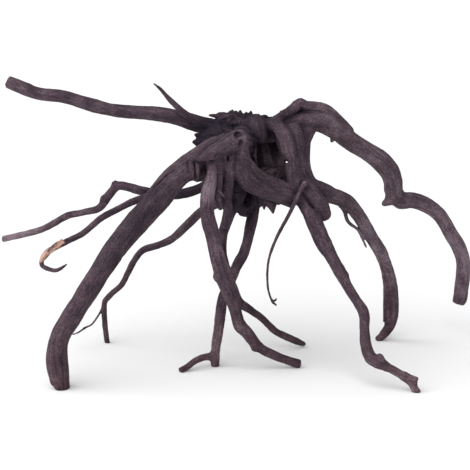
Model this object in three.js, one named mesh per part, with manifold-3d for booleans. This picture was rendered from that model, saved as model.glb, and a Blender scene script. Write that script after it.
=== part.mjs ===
// A spiderwood root: one dry piece of dark wood, a torn crown with the legs and rootlets that grew
// from it. Millimetres, +Z up. Seen from the front, +X runs to the right and +Y away. The origin is
// on the ground, below the middle of the root.

import * as THREE from 'three';
import { mergeVertices } from 'three/addons/utils/BufferGeometryUtils.js';
import Module from 'manifold-3d';

const wasm = await Module();
wasm.setup();

// Driving dimensions: how finely each thickness of limb is faceted
const THICK = { sides: 9, spacing: 9.5 };
const MIDDLE = { sides: 7, spacing: 8.5 };
const FINE = { sides: 6, spacing: 9 };
const HAIR = { sides: 4, spacing: 9 };
const CHIP = { sides: 4, spacing: 12 };

// Driving dimensions: the surface of the wood
const FLUTE_DEPTH = 0.08; // lengthwise flutes, as a share of the limb's radius
const FLUTE_COUNT = 3;
const FLUTE_TWIST = 0.035; // turn of the flutes, radians for each millimetre of limb
const LUMP_ROUGHNESS = 0.09; // unevenness of the crown's lumps, as a share of their radius
const LUMP_WAVES = [5, 4, 6]; // how tight that unevenness is along x, y and z
const LUMP_DETAIL = 2; // how often a ball's first twenty faces are divided
const SPLINTER_TIP = 0.7; // radius of a splinter's tip
const GROUND = 0; // the feet are flat at this height
const WELD = 1e-5; // points of one solid closer than this are one point

const WOOD = new THREE.MeshStandardMaterial({ color: 0x51444b, roughness: 0.85, metalness: 0 });

// Limbs. Each point of a route is x, y, z of the limb's heart and then its radius.

// The branch at the upper left: sawn off square at its far end, it runs on into the top of the crown
const UPPER_LEFT_BRANCH = {
  ...THICK,
  route: [
    [-204, 77, 231, 5.7], [-190, 74, 226, 5.5], [-177, 69, 222, 5.4], [-155, 63, 220, 5.5],
    [-135, 57, 215, 5.4], [-118, 51, 211, 5.4], [-95, 44, 209, 5.6], [-73, 37, 208.5, 6.1],
    [-53, 31, 206.5, 6.6], [-34, 27, 202.5, 7.8], [-13, 26, 198, 9.8], [5, 28, 195, 10.5],
    [24, 28, 194, 9.5], [41, 26, 198, 8.5],
  ],
};

// The thorn that splits off the same branch and points up to the left
const THORN = {
  ...FINE,
  route: [
    [-73, 17, 237, 0.6], [-67, 17, 232, 1.5], [-61, 17, 225, 1.9], [-53, 17, 217, 2.4],
    [-44, 18, 209, 3.2], [-30, 19, 202, 4.2], [-15, 21, 196, 5],
  ],
};

// The thickest leg: from the front knob of the crown down to its foot at the front left
const BIG_LEFT_LEG = {
  ...THICK,
  route: [
    [-146, -84, -5, 6.8], [-148, -83, 12, 7.9], [-149, -81, 28, 7.8], [-146, -79, 42, 7.4],
    [-136.5, -76, 58, 7.6], [-118, -70, 87, 8.4], [-100.5, -64, 112, 8.9], [-83, -57, 133.5, 9.7],
    [-68, -51, 149.5, 10], [-55, -45, 164, 10.6], [-39, -38, 176, 10.6], [-22, -30, 186, 9.5],
    [-8, -24, 191, 8],
  ],
};

// The yoke: a torn lip over the big leg, up to the knob and down again as the bridge to the right
const YOKE = {
  ...THICK,
  spacing: 8,
  route: [
    [-38, -45, 180, 1.5], [-30, -43, 184, 4.5], [-18, -38, 191, 6.5], [-8, -33, 197, 7.5],
    [0, -29, 197, 8.6], [3, -28, 187, 8.8], [4, -26, 175, 10.4], [14, -23, 164, 9.7],
    [27, -20, 156, 8.9], [40, -16, 149, 8.9], [53, -12, 141, 9.2],
  ],
};

// The front leg: out from under the lip, straight down, then forward to a knobbed foot
const FRONT_LEG = {
  ...MIDDLE,
  route: [
    [-21, -30, 190, 3.6], [-24, -38, 177, 3.9], [-26, -42, 166, 4.6], [-26, -46, 153, 6],
    [-25, -49, 137, 6], [-21, -52, 116, 5.6], [-17, -53, 100, 5.7], [-13, -52, 86, 6.8],
    [-7, -49, 72, 6.6], [-4, -45, 59, 5.5], [0, -41, 45, 5.8], [7, -37, 32, 5],
    [15, -33, 21, 4], [26, -30, 14, 3.5], [38, -27, 8.5, 3.5], [47, -25, 4.5, 3.9], [51, -25, 3.5, 4],
  ],
};
const FRONT_LEG_STUB = { ...CHIP, route: [[-14, -52, 87, 4.5], [-22, -54, 84, 2]] };
const FRONT_LEG_KNOT = { ...CHIP, route: [[17, -32, 20, 3.5], [17, -34, 13, 1.8]] };

// The strand of loose fibre beside the front leg, grown back into the middle leg
const INNER_STRAND = {
  ...FINE,
  route: [
    [-18, -25, 182, 3.4], [-17, -28, 166, 3], [-16, -26, 153, 3.4], [-12, -17, 141, 4.3],
    [-10, -7, 129, 4], [-12, -1, 119, 3],
  ],
};

// The middle leg: down and back to a pointed foot
const MIDDLE_LEG = {
  ...FINE,
  route: [
    [0, 0, 158, 8.5], [-2, -3, 147, 7.2], [-7, -3, 134, 5.2], [-12, -1, 121, 4.2],
    [-15, 2, 107, 3.8], [-15, 6, 92, 3.7], [-11, 12, 75, 3.8], [-4, 17, 59, 3.8],
    [4, 22, 42, 3.9], [14, 26, 34.5, 3.2], [24, 30, 24.5, 3], [36, 33, 15, 2.8],
    [47, 36, 8, 2.7], [57, 39, 1, 2.5],
  ],
};

// The rear leg: a knotted foot with a toe to the left
const REAR_LEG = {
  ...FINE,
  route: [
    [14, 16, 160, 8.5], [12, 14, 148, 6.4], [12, 13, 137, 5.1], [11, 11, 124, 4.7],
    [7.5, 7, 107, 3.9], [4.5, 3, 94, 3.7], [-2, -3, 82, 3.7], [-9, -8, 69, 3.7],
    [-14.5, -12, 57, 4.2], [-17, -15, 43, 4.2], [-18.5, -18, 27, 3.9], [-21, -20, 14, 3.6],
    [-21, -22, -1, 4],
  ],
};
const REAR_TOE = {
  ...FINE,
  route: [
    [-20, -19, 8, 3.2], [-30, -24, 8.5, 2.6], [-38, -30, 6.5, 2.4], [-44, -35, 3, 2.4],
    [-50, -39, 0.6, 2.6],
  ],
};

// The right leg: past two bumps and a knee to a foot that splits in two
const RIGHT_LEG = {
  ...MIDDLE,
  route: [
    [50, -10, 155, 9], [53, -13, 143, 9], [59.5, -16, 131, 8.2], [65, -19, 121, 7.2],
    [69.5, -25, 110, 5.9], [77, -34, 97, 4.8], [83, -41, 87, 4.8], [88, -46, 77, 4],
    [96, -53, 64.5, 3.7], [101.5, -59, 57, 4.1], [102.5, -66, 44, 3.5], [104, -73, 33, 3.6],
    [107, -78, 23.5, 4.6], [113, -81, 21, 4.8], [122, -85, 17, 3.2], [132, -90, 12.5, 3],
    [143, -94, 9, 2.8],
  ],
};
const RIGHT_LEG_BUMP = { ...CHIP, route: [[84, -40, 86, 3.6], [78.5, -41, 84, 2.2]] };
const RIGHT_TOE = { ...FINE, route: [[132, -89, 12, 2.8], [138, -92, 7, 2.8], [143.5, -95, -1, 3]] };

// The outer right leg: arched over to a pointed foot at the back, split lengthwise
const OUTER_RIGHT_LEG = {
  ...THICK,
  route: [
    [50, -4, 150, 9], [63, -1, 149, 9], [78, 8, 142, 7], [90, 15, 137, 6.3],
    [99, 22, 129, 6], [107, 29, 117, 5.8], [115, 37, 101, 5.6], [123.5, 45, 85, 5.6],
    [130.5, 52, 68, 5.6], [134.5, 57, 52, 5.7], [136, 60, 36, 5.8], [136, 61, 23, 5.6],
    [134, 61, 13, 4.8], [129, 60, 5, 3.6], [123, 59, 0, 2],
  ],
};
const OUTER_RIGHT_TWIG = {
  ...HAIR,
  route: [
    [84, 15, 134, 2], [89, 19, 127, 1.5], [93, 23, 116, 1.3], [101, 27, 109, 1.2],
    [111, 33, 91, 0.8],
  ],
};

// The lobe that hangs between the two right legs
const LOBE = {
  ...THICK,
  spacing: 7,
  route: [[58, -6, 155, 6], [66, -9, 143, 8], [70, -10, 134, 7.6], [71.5, -10, 126, 5]],
};

// The arm: over the right in an arch, an elbow, and down to a rounded end that hangs free
const ARM = {
  ...THICK,
  route: [
    [26, 24, 195, 7.5], [37, 25, 199, 8], [48, 25, 204, 8.5], [60, 26, 206, 9.4],
    [72, 28, 204, 10], [83, 32, 196, 9.6], [95, 36, 185, 8.1], [109, 40, 176.5, 7.9],
    [121.5, 45, 168, 8.2], [131, 50, 157, 8.1], [135, 54, 146, 7.8], [136, 57, 136, 7.7],
    [142, 60, 128, 7.5], [153, 64, 127.5, 6.9], [165, 70, 122.5, 6.6], [176, 75, 114.5, 6.4],
    [183.5, 79, 105, 5.9], [191, 83, 92, 5.9], [198.5, 86, 80, 6], [203, 89, 67, 6],
    [203.5, 91, 52, 5.9], [202, 92, 40, 6], [201, 92, 30, 5.8], [200.5, 92, 26, 3.6],
  ],
};
const ARM_SPUR = { ...CHIP, route: [[136, 57, 133, 5], [129, 54, 128, 3.4], [123, 52, 125, 1.2]] };
const ARM_SPLINTER = { ...CHIP, route: [[82, 31, 192, 3], [78, 29, 186, 0.8]] };

// The second strand along the top of the arm, with a knob
const ARM_UPPER_STRAND = {
  ...MIDDLE,
  route: [
    [20, 21, 199, 5.2], [33, 20, 206, 4.8], [43, 19, 213, 4.5], [53, 19, 219.5, 5.2],
    [62, 21, 217, 4.6], [73, 24, 214, 4.2], [81, 29, 206, 4], [90, 33, 195, 4],
  ],
};

// Two rootlets that reach to the left, the lower one broken back to pale wood near its hooked tip
const LEFT_UPPER_ROOTLET = {
  ...FINE,
  route: [
    [0, 9, 168, 5], [-18, 7, 160, 4], [-34, 5, 151, 4.3], [-51, 4, 146, 4.2],
    [-68, 4, 145, 3.4], [-83, 6, 146.5, 3.3], [-94, 9, 149.5, 3.1], [-103.5, 12, 150, 3.3],
    [-109.5, 15, 144, 3.3], [-115, 18, 136, 3.6], [-120.5, 21, 129, 3.1], [-134, 27, 124, 2.8],
    [-149, 33, 120, 2.9], [-161, 38, 112.5, 2.7], [-173, 43, 105.5, 2.7], [-191, 49, 99.5, 2.6],
    [-208.5, 53, 94.5, 2.6],
  ],
};
const LEFT_LOWER_ROOTLET = {
  ...FINE,
  route: [
    [-60, 3, 145, 3.2], [-77, -5, 144, 3.1], [-90, -11, 141, 2.7], [-104, -16, 135, 2.5],
    [-115, -20, 130, 2.6], [-122, -23, 124, 2.4], [-131, -25, 116, 2.3], [-143, -28, 110.5, 2.2],
    [-153, -31, 106, 2.6], [-159, -33, 103, 2.6], [-163.5, -35, 98, 2], [-164, -37, 91.5, 1.9],
    [-159, -40, 89.5, 1.9], [-152, -43, 89, 1.7], [-147, -45, 92, 1.3], [-142, -46, 95, 0.6],
  ],
};

// The back left leg, and the hair root that curls away from its knee
const BACK_LEFT_LEG = {
  ...FINE,
  route: [
    [8, 20, 150, 8], [-2, 22, 140, 5.6], [-15, 27, 133, 4.2], [-30, 31, 126, 3.7],
    [-41, 35, 115.5, 3.7], [-51.5, 39, 105, 3.5], [-60, 42, 96.5, 3.1], [-73, 44, 90, 2.8],
    [-84, 45, 86, 2.8], [-91, 46, 78, 2.7], [-97, 47, 67, 2.6], [-104.5, 48, 54, 2.6],
    [-114, 49, 45.5, 2.5], [-119.5, 50, 39, 2.3], [-120.5, 50, 30, 2.2], [-120, 51, 17, 2.2],
    [-118, 52, -2, 2.2],
  ],
};
const HAIR_ROOT = {
  ...HAIR,
  route: [
    [-120, 50, 36, 1.1], [-126, 47, 28, 0.7], [-133, 39, 18, 0.6], [-142, 29, 15, 0.6],
    [-151, 17, 19, 0.5],
  ],
};

// The thin strand that hangs from the right of the crown to a forked tip
const HANGING_STRAND = {
  ...HAIR,
  route: [
    [60, -18, 164, 2.4], [52, -24, 155, 2], [42, -28, 136, 1.5], [29.5, -29, 112, 1.3],
    [23.5, -28, 93, 1], [23, -27, 73, 1], [25, -26, 64, 1], [28.5, -25, 55, 0.9],
  ],
};
const STRAND_FORK = { ...HAIR, route: [[27, -25, 59, 0.9], [32, -25, 52, 0.8]] };

// The pillars at the right of the crown, between the arm and the legs, with a groove between them
const FRONT_PILLAR = {
  ...MIDDLE,
  route: [
    [34, 16, 202, 7.6], [43, 7, 193, 7.4], [47, -1, 181, 7.1], [48, -6, 168, 6.6],
    [50, -10, 156, 6], [51, -12, 144, 5.6],
  ],
};
const BACK_PILLAR = {
  ...MIDDLE,
  route: [
    [57.5, 24, 202, 5.8], [55.5, 17, 190, 4.8], [55, 12, 176, 4.5], [55, 7, 165, 4.3],
    [61, 2, 152, 5.2],
  ],
};

// The back of the crown: thick strands grown side by side, from its torn top down to the legs
const BACK_STRANDS = [
  [[-20, 30, 200, 8], [-16, 39, 188, 10.5], [-9, 41, 173, 11.5], [-2, 34, 158, 10], [4, 24, 143, 6]],
  [[-2, 34, 203, 8], [2, 47, 190, 11.5], [6, 50, 175, 12], [10, 44, 159, 11], [14, 30, 142, 8]],
  [[18, 34, 202, 8], [20, 45, 189, 11], [24, 47, 174, 12], [27, 40, 158, 11.5], [27, 24, 143, 9]],
  [[38, 34, 201, 8], [40, 43, 188, 10.5], [42, 42, 174, 11], [42, 34, 160, 11], [43, 18, 147, 10]],
].map((route) => ({ ...MIDDLE, route }));

const LIMBS = [
  UPPER_LEFT_BRANCH, THORN, BIG_LEFT_LEG, YOKE, FRONT_LEG, FRONT_LEG_STUB, FRONT_LEG_KNOT,
  INNER_STRAND, MIDDLE_LEG, REAR_LEG, REAR_TOE, RIGHT_LEG, RIGHT_LEG_BUMP, RIGHT_TOE,
  OUTER_RIGHT_LEG, OUTER_RIGHT_TWIG, LOBE, ARM, ARM_SPUR, ARM_SPLINTER, ARM_UPPER_STRAND,
  LEFT_UPPER_ROOTLET, LEFT_LOWER_ROOTLET, BACK_LEFT_LEG, HAIR_ROOT, HANGING_STRAND, STRAND_FORK,
  FRONT_PILLAR, BACK_PILLAR, ...BACK_STRANDS,
];

// The crown: lumps of wood, each with its middle and its half sizes along x, y and z
const CROWN_LUMPS = [
  { at: [24, 18, 149], half: [27, 24, 17] }, // floor of the hollow
  { at: [-19, 18, 190], half: [21, 15, 13] }, // left shoulder
  { at: [-36, -24, 169], half: [11, 14, 10] }, // wood under the root of the big leg
  { at: [-4, 2, 160], half: [15, 19, 24] }, // root of the middle legs
  { at: [3, 5, 144], half: [10, 7, 18] }, // web between the middle and rear legs
  { at: [2, 2, 186], half: [14, 26, 16] }, // left wall of the hollow
  { at: [51, 2, 148], half: [17, 15, 12] }, // root of the right legs
  { at: [2, 24, 203], half: [22, 12, 8] }, // torn top
  { at: [-13, 21, 206], half: [10, 8, 7] }, // hump on the top
];

// The hollow in the front of the crown, and the small holes in the wood
const HOLLOW = { at: [24, 1, 175], half: [15, 31, 27] };
const UNDER_RECESS = { at: [6, -10, 146], half: [5, 14, 13] };
const KNOB_PIT = { at: [-2, -38, 200], half: [3.4, 4, 2.6] };
const KNOB_DIMPLE = { at: [0, -39, 191], half: [2, 2.4, 3] };
const PINHOLE = { from: [40, -20, 175], to: [43, 90, 151], radius: 1.2 };

// Splinters of the torn crown. Each points from its root to its tip; the last number is its radius.
const SPLINTERS = [
  { root: [-16, 20, 207], tip: [-26, 19, 209], radius: 3.2 },
  { root: [-3, 23, 206], tip: [-5, 22, 213], radius: 3.2 },
  { root: [1, 25, 206], tip: [-1, 25, 215], radius: 3.6 },
  { root: [5, 22, 206], tip: [5, 20, 212], radius: 3.6 },
  { root: [9, 26, 205], tip: [10, 27, 212], radius: 3.6 },
  { root: [13, 22, 204], tip: [14, 19, 209], radius: 3.4 },
  { root: [16, 27, 203], tip: [17, 29, 210], radius: 3.4 },
  { root: [20, 23, 202], tip: [20, 20, 207], radius: 3.2 },
  { root: [23, 28, 200], tip: [25, 30, 206], radius: 3.4 },
  { root: [6, 32, 204], tip: [4, 35, 211], radius: 3.4 },
  { root: [-8, 27, 204], tip: [-11, 30, 209], radius: 3 },
  { root: [-30, 19, 192], tip: [-39, 18, 194], radius: 4.5 },
  { root: [-31, 18, 187], tip: [-40, 17, 184], radius: 4.5 },
  { root: [11, -6, 190], tip: [14, -16, 196], radius: 4 },
  { root: [9, -4, 178], tip: [15, -14, 176], radius: 3.6 },
];

// The torn skirt under the bridge
const SKIRT = [
  { root: [24, -7, 148], tip: [24, -8, 135], radius: 9 },
  { root: [22, -8, 150], tip: [19, -8, 133], radius: 6 },
  { root: [25, -9, 148], tip: [28, -9, 128], radius: 5 },
  { root: [33, -11, 146], tip: [34, -10, 138], radius: 4.6 },
  { root: [14, -4, 150], tip: [13, -5, 136], radius: 4.6 },
];

function solidOf(geometry) {
  const closed = geometry.clone();
  closed.deleteAttribute('normal');
  closed.deleteAttribute('uv');
  const merged = mergeVertices(closed, WELD);
  const vertProperties = Float32Array.from(merged.attributes.position.array);
  const triVerts = Uint32Array.from(merged.index.array);
  return new wasm.Manifold(new wasm.Mesh({ numProp: 3, vertProperties, triVerts }));
}

function reshape(geometry, move) {
  const position = geometry.attributes.position;
  const point = new THREE.Vector3();
  for (let i = 0; i < position.count; i += 1) {
    point.fromBufferAttribute(position, i);
    move(point);
    position.setXYZ(i, point.x, point.y, point.z);
  }
  return geometry;
}

// A tapering, fluted limb: a closed cylinder bent along the route
function limb({ sides, spacing, route }) {
  const curve = new THREE.CatmullRomCurve3(
    route.map(([x, y, z]) => new THREE.Vector3(x, y, z)), false, 'centripetal');
  const length = curve.getLength();
  const rings = Math.max(1, Math.round(length / spacing));
  const frames = curve.computeFrenetFrames(rings);
  const start = route[0][0];
  return reshape(new THREE.CylinderGeometry(1, 1, 1, sides, rings), (point) => {
    const along = point.y + 0.5;
    const ring = Math.round(along * rings);
    const place = curve.getUtoTmapping(along) * (route.length - 1);
    const before = Math.min(Math.floor(place), route.length - 2);
    const radius = THREE.MathUtils.lerp(route[before][3], route[before + 1][3], place - before);
    const angle = Math.atan2(point.x, point.z);
    const flute = Math.cos(FLUTE_COUNT * angle + FLUTE_TWIST * along * length + start);
    const reach = (radius / Math.cos(Math.PI / sides)) * (1 + FLUTE_DEPTH * flute);
    const across = frames.normals[ring].clone().multiplyScalar(point.z * reach);
    across.addScaledVector(frames.binormals[ring], point.x * reach);
    point.copy(curve.getPointAt(along)).add(across);
  });
}

// An uneven lump: a ball stretched to its half sizes
function lump({ at, half }) {
  const middle = new THREE.Vector3(...at);
  const size = new THREE.Vector3(...half);
  return reshape(new THREE.IcosahedronGeometry(1, LUMP_DETAIL), (point) => {
    const waves = point.toArray().map((reach, i) => Math.sin(LUMP_WAVES[i] * reach + at[i]));
    const swell = waves[0] * waves[1] * waves[2];
    point.multiplyScalar(1 + LUMP_ROUGHNESS * swell);
    point.multiply(size).add(middle);
  });
}

function hole({ at, half }) {
  const geometry = new THREE.IcosahedronGeometry(1, LUMP_DETAIL);
  return geometry.scale(...half).translate(...at);
}

function splinter({ root, tip, radius }) {
  return limb({ ...CHIP, route: [[...root, radius], [...tip, SPLINTER_TIP]] });
}

function pinhole({ from, to, radius }) {
  return limb({ ...HAIR, route: [[...from, radius], [...to, radius]] });
}

function underground() {
  const side = 600;
  const depth = 100;
  return new THREE.BoxGeometry(side, side, depth).translate(0, 0, GROUND - depth / 2);
}

function meshOf(solid) {
  const { vertProperties, triVerts } = solid.getMesh();
  const geometry = new THREE.BufferGeometry();
  geometry.setAttribute('position', new THREE.BufferAttribute(vertProperties, 3));
  geometry.setIndex(new THREE.BufferAttribute(triVerts, 1));
  geometry.computeVertexNormals();
  return new THREE.Mesh(geometry, WOOD);
}

const join = (wood, geometry) => wood.add(solidOf(geometry));
const cut = (wood, geometry) => wood.subtract(solidOf(geometry));

// The hollow is cut into the crown's lumps, and the limbs then grow across it
const lumps = CROWN_LUMPS.map(lump);
const heap = lumps.slice(1).reduce(join, solidOf(lumps[0]));
const crown = [hole(HOLLOW), hole(UNDER_RECESS)].reduce(cut, heap);
const growth = [...LIMBS.map(limb), ...SPLINTERS.map(splinter), ...SKIRT.map(splinter)];
const grown = growth.reduce(join, crown);
const holes = [hole(KNOB_PIT), hole(KNOB_DIMPLE), pinhole(PINHOLE), underground()];
const carved = holes.reduce(cut, grown);

// Pockets that the joins seal inside the crown are filled, because only the outer skin is kept
const finished = carved.decompose().reduce((a, b) => (a.volume() > b.volume() ? a : b));

const root = meshOf(finished);
root.name = 'spiderwood_root';

const group = new THREE.Group();
group.add(root);

export default group;
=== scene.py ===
import bpy
import numpy as np
import openvdb
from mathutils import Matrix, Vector


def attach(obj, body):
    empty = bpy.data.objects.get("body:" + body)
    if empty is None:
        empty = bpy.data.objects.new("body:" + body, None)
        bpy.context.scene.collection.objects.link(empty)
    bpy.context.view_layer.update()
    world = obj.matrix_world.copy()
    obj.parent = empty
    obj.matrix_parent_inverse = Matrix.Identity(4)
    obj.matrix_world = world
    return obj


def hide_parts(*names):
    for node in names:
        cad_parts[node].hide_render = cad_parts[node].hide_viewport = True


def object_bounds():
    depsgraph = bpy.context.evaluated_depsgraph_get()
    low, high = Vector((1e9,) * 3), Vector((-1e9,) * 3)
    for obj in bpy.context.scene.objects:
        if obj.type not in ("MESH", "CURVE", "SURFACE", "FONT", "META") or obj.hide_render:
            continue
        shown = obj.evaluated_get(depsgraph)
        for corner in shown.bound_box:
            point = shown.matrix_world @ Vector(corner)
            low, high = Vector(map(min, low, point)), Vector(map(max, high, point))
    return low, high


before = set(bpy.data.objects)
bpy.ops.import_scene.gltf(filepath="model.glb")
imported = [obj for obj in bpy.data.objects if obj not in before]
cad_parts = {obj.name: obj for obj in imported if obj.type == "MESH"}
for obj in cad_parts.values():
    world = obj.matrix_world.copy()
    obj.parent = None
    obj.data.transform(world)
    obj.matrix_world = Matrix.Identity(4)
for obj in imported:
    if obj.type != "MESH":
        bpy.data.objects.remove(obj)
cad_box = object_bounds()

# The crown. The heart of the root is a stump of dense dark wood, torn open at the front and along its
# top. It grew as one piece with every limb, so all the wood is gathered in one field of distances, and
# the crown's lumps are laid down first. Sizes are in millimetres until the finished mesh is written.

STEP = 0.75  # between two samples of the field
FIELD_LOW = np.array([-213.0, -103.0, -4.0])
FIELD_HIGH = np.array([214.0, 103.0, 243.0])
OUTSIDE = 1000.0
REACH = 6.0  # how far from a limb its distance is worked out
LATTICE_SIDE = 64  # of the cube of random numbers behind all the noise

field = np.full(np.ceil((FIELD_HIGH - FIELD_LOW) / STEP).astype(int) + 1, OUTSIDE, np.float32)
lattice = np.random.default_rng(11).random((LATTICE_SIDE,) * 3).astype(np.float32) * 2 - 1


def window(low, high):
    """The part of the field inside a box: its slices, and its samples' x, y and z, which equal the
    field's low corner plus the step times the index."""
    first = np.maximum(np.floor((low - FIELD_LOW) / STEP).astype(int), 0)
    last = np.minimum(np.ceil((high - FIELD_LOW) / STEP).astype(int) + 1, field.shape)
    axes = [FIELD_LOW[i] + STEP * np.arange(first[i], last[i]) for i in range(3)]
    place = np.meshgrid(*[axis.astype(np.float32) for axis in axes], indexing="ij", sparse=True)
    return tuple(slice(a, b) for a, b in zip(first, last)), place


def fuse(near, other, width):
    """The lesser of two distances, with the corner between them rounded over a width: a straight mix of
    the two by their difference, less width times mix times one minus mix."""
    mix = np.clip(0.5 + 0.5 * (other - near) / width, 0, 1)
    return other + (near - other) * mix - width * mix * (1 - mix)


def carve(wood, hole, width):
    """The greater of the wood's distance and the hole's turned round, with the rim rounded."""
    return -fuse(-wood, hole, width)


def cloud(x, y, z):
    """Smooth noise from -1 to 1: random numbers at whole coordinates, and between them a mix along each
    axis by three times the fraction squared less twice its cube."""
    x, y, z = np.broadcast_arrays(x, y, z)
    cells = [np.floor(axis).astype(np.int64) for axis in (x, y, z)]
    mixes = []
    for axis, cell in zip((x, y, z), cells):
        part = axis - cell
        mixes.append(part * part * (3 - 2 * part))
    total = 0
    for corner in np.ndindex(2, 2, 2):
        share = 1
        for side, mix in zip(corner, mixes):
            share = share * (mix if side else 1 - mix)
        spot = tuple((cell + side) % LATTICE_SIDE for cell, side in zip(cells, corner))
        total = total + share * lattice[spot]
    return total


def ball(at, half, place):
    """Distance to a ball stretched to its half sizes: with p the offset from its middle, k is the length
    of p over the half sizes, and the distance is k times (k - 1) over the length of p over their squares."""
    offset = [axis - middle for axis, middle in zip(place, at)]
    over_half = np.sqrt(sum((o / h) ** 2 for o, h in zip(offset, half))) + 1e-6
    over_square = np.sqrt(sum((o / h**2) ** 2 for o, h in zip(offset, half))) + 1e-6
    return over_half * (over_half - 1) / over_square


CROWN_LUMPS = [  # middle, half sizes
    ((24, 18, 149), (27, 24, 17)),  # floor of the hollow
    ((-16, 18, 190), (18.5, 15, 12.5)),  # left shoulder
    ((-33, -24, 170), (9, 14, 10)),  # wood under the root of the big leg
    ((-4, 2, 160), (15, 19, 24)),  # root of the middle legs
    ((3, 4, 142), (10, 8, 18.5)),  # web between the middle and rear legs
    ((-13, -19, 158), (8, 11, 21)),  # web between the front and middle legs
    ((2, 2, 186), (12, 26, 16)),  # left wall of the hollow
    ((51, 2, 148), (17, 15, 12)),  # root of the right legs
    ((2, 24, 202), (22, 12, 7)),  # torn top
    ((-11, 21, 204), (9, 8, 6.5)),  # hump on the top
]
CROWN_HOLLOWS = [  # middle, half sizes
    ((24, -1, 177), (16, 31, 28)),  # the hollow in the front
    ((6, -10, 146), (5, 14, 13)),  # the recess under the bridge
]
CROWN_SWELLS = ((9, 1.6), (4, 0.7))  # size and height of its uneven swellings
LUMP_FUSE = 5.0
HOLLOW_RIM = 3
CROWN_LOW = np.array([-60, -50, 110])
CROWN_HIGH = np.array([85, 55, 225])


def crown_distance(place):
    """Distance to the crown: its lumps fused and swollen by noise, with the hollows carved out."""
    wood = np.float32(OUTSIDE)
    swell = sum(height * cloud(*[axis / size for axis in place]) for size, height in CROWN_SWELLS)
    for at, half in CROWN_LUMPS:
        wood = fuse(wood, ball(at, half, place), LUMP_FUSE)
    wood = wood - swell
    for at, half in CROWN_HOLLOWS:
        wood = carve(wood, ball(at, half, place), HOLLOW_RIM)
    return wood


region, place = window(CROWN_LOW, CROWN_HIGH)
field[region] = crown_distance(place)


# The back of the crown: four thick strands of wood grown side by side from the torn top down to the
# legs. Every limb of the root is made as these are, a round, uneven rod of wood along a bent line, and
# is rounded into what it grew from.

LIMB_FUSE = 3.2
THINNEST = 0.72  # radius; a thinner hair would fall between the samples
WAVE_LENGTHS = (5, 9, 17)  # of the swellings along a limb
CUT_ROUNDING = 1.2
CUT_ZONE = 1.2  # how near an end, in radii there, a rod is cut
SHIFTS_TO = 60  # most by which a limb's grain is shifted, so that no two are alike

limbs = []
dice = np.random.default_rng(29)


def course(route, spacing):
    """Points along a limb's heart and the radius at each. Between two points of the route the heart is the
    cubic that meets both with their slopes, and the radius changes evenly. The slope at a point is the
    chord to it over its time, plus the chord from it over its time, less the chord past it over both
    times. A chord's time is the square root of its length."""
    knots = np.array(route, float)
    padded = np.vstack([2 * knots[0] - knots[1], knots, 2 * knots[-1] - knots[-2]])
    chords = np.linalg.norm(np.diff(knots[:, :3], axis=0), axis=1)
    counts = np.maximum(1, np.round(chords / spacing).astype(int))
    index = np.repeat(np.arange(len(counts)), counts)
    ends = np.cumsum(counts)
    part = (np.arange(ends[-1]) - np.repeat(ends - counts, counts)) / counts[index]
    index = np.append(index, len(counts) - 1)
    part = np.append(part, 1.0)[:, None]
    before, start, end, after = [padded[index + i, :3] for i in range(4)]
    spans = ((before, start), (start, end), (end, after))
    gaps = [np.sqrt(np.linalg.norm(b - a, axis=1))[:, None] for a, b in spans]
    step_in = (start - before) / gaps[0] - (end - before) / (gaps[0] + gaps[1]) + (end - start) / gaps[1]
    step_out = (end - start) / gaps[1] - (after - start) / (gaps[1] + gaps[2]) + (after - end) / gaps[2]
    slope_in, slope_out = step_in * gaps[1], step_out * gaps[1]
    heart = start + part * slope_in
    heart += part**2 * (3 * (end - start) - 2 * slope_in - slope_out)
    heart += part**3 * (2 * (start - end) + slope_in + slope_out)
    radius = padded[index + 1, 3] + (padded[index + 2, 3] - padded[index + 1, 3]) * part[:, 0]
    return heart, radius


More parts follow.
